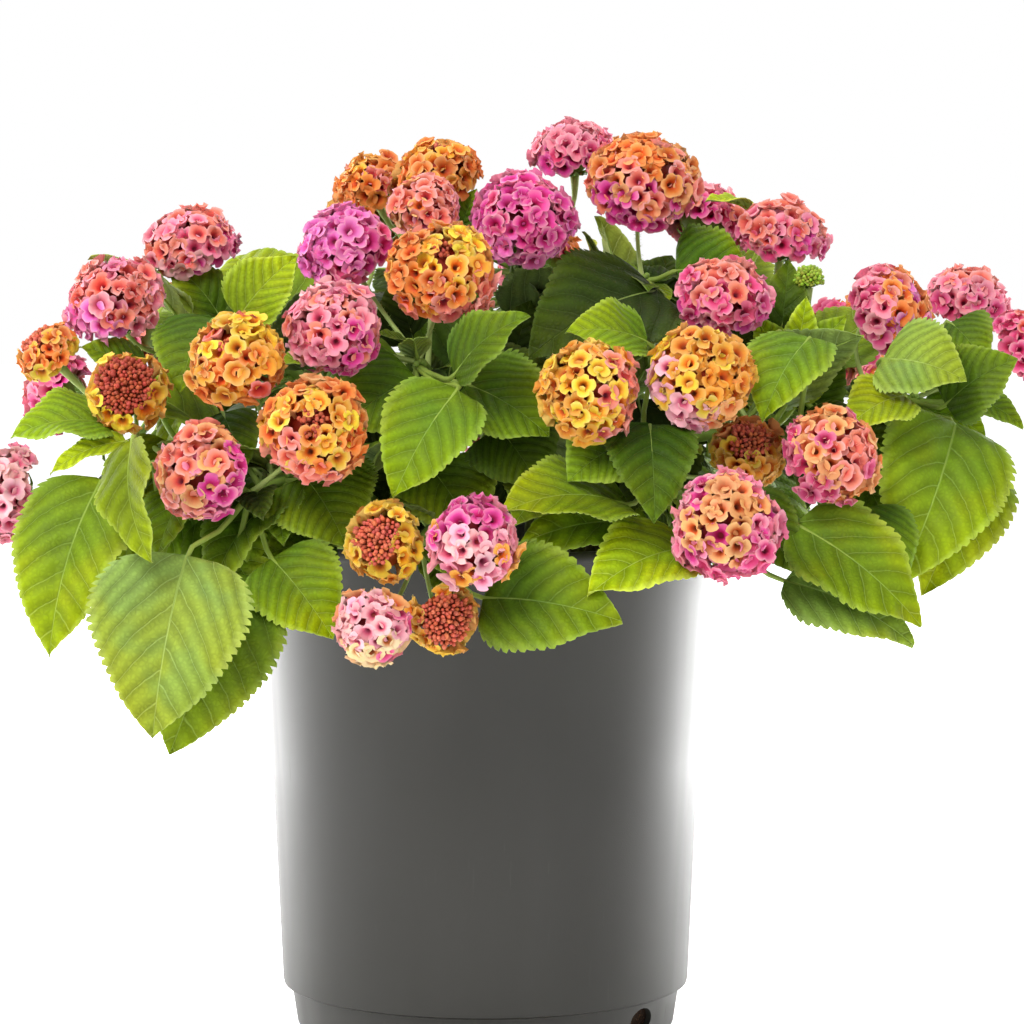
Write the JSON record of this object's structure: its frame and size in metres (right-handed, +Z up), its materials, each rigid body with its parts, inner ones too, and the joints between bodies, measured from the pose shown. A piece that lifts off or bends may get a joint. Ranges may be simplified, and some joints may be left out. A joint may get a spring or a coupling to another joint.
{
  "type": "flowering lantana in a nursery pot",
  "caption": "Bushy flowering shrub with toothed leaves and round multicoloured flower heads, growing in a plain round plastic nursery pot that stands on its flat base.",
  "frame": {"origin": "centre of the pot's flat underside", "axes": "+Z up along the pot's axis, -Y towards the plant's fullest side, +X to the right seen from it"},
  "size_m": [0.3981, 0.2987, 0.3396],
  "materials": {
    "pot_plastic": "satin",
    "potting_soil": "matte",
    "leaf_green": "satin",
    "petals_young": "matte",
    "petals_gold": "matte",
    "petals_sunset": "matte",
    "petals_salmon": "matte",
    "petals_rose": "matte",
    "petals_magenta": "matte",
    "petals_green": "matte"
  },
  "bodies": {
    "root": {"pot": "pot_plastic", "soil": "potting_soil", "shoot_low_left": "leaf_green", "shoot_left": "leaf_green", "shoot_front_left": "leaf_green", "shoot_low_front": "leaf_green", "shoot_mid_front": "leaf_green", "shoot_top": "leaf_green", "shoot_upper_right": "leaf_green", "shoot_front_right": "leaf_green", "shoot_right_front": "leaf_green", "shoot_right": "leaf_green", "shoot_back_left": "leaf_green", "shoot_back": "leaf_green", "shoot_back_right": "leaf_green", "bloom_low_left_a": "petals_young", "bloom_low_left_b": "petals_young", "bloom_low_left_c": "petals_salmon", "bloom_left_a": "petals_rose", "bloom_left_b": "petals_salmon", "bloom_left_c": "petals_rose", "bloom_front_left_a": "petals_gold", "bloom_front_left_b": "petals_gold", "bloom_front_left_c": "petals_sunset", "bloom_low_front_a": "petals_young", "bloom_low_front_b": "petals_rose", "bloom_low_front_c": "petals_salmon", "bloom_low_front_d": "petals_young", "bloom_mid_front_a": "petals_rose", "bloom_mid_front_b": "petals_magenta", "bloom_mid_front_c": "petals_sunset", "bloom_mid_front_d": "petals_salmon", "bloom_top_a": "petals_gold", "bloom_top_b": "petals_gold", "bloom_top_c": "petals_magenta", "bloom_top_d": "petals_rose", "bloom_upper_right_a": "petals_sunset", "bloom_front_right_a": "petals_gold", "bloom_front_right_b": "petals_gold", "bloom_front_right_c": "petals_young", "bloom_front_right_d": "petals_salmon", "bloom_right_front_a": "petals_sunset", "bloom_right_front_b": "petals_rose", "bloom_right_front_c": "petals_salmon", "bloom_right_front_d": "petals_green", "bloom_right_a": "petals_sunset", "bloom_right_b": "petals_rose", "bloom_right_c": "petals_rose", "bloom_back_left_a": "petals_sunset", "bloom_back_left_b": "petals_rose", "bloom_back_left_c": "petals_gold", "bloom_back_a": "petals_magenta", "bloom_back_b": "petals_sunset", "bloom_back_right_a": "petals_gold", "bloom_back_right_b": "petals_rose", "bloom_back_right_c": "petals_sunset"}
  },
  "joints": []
}
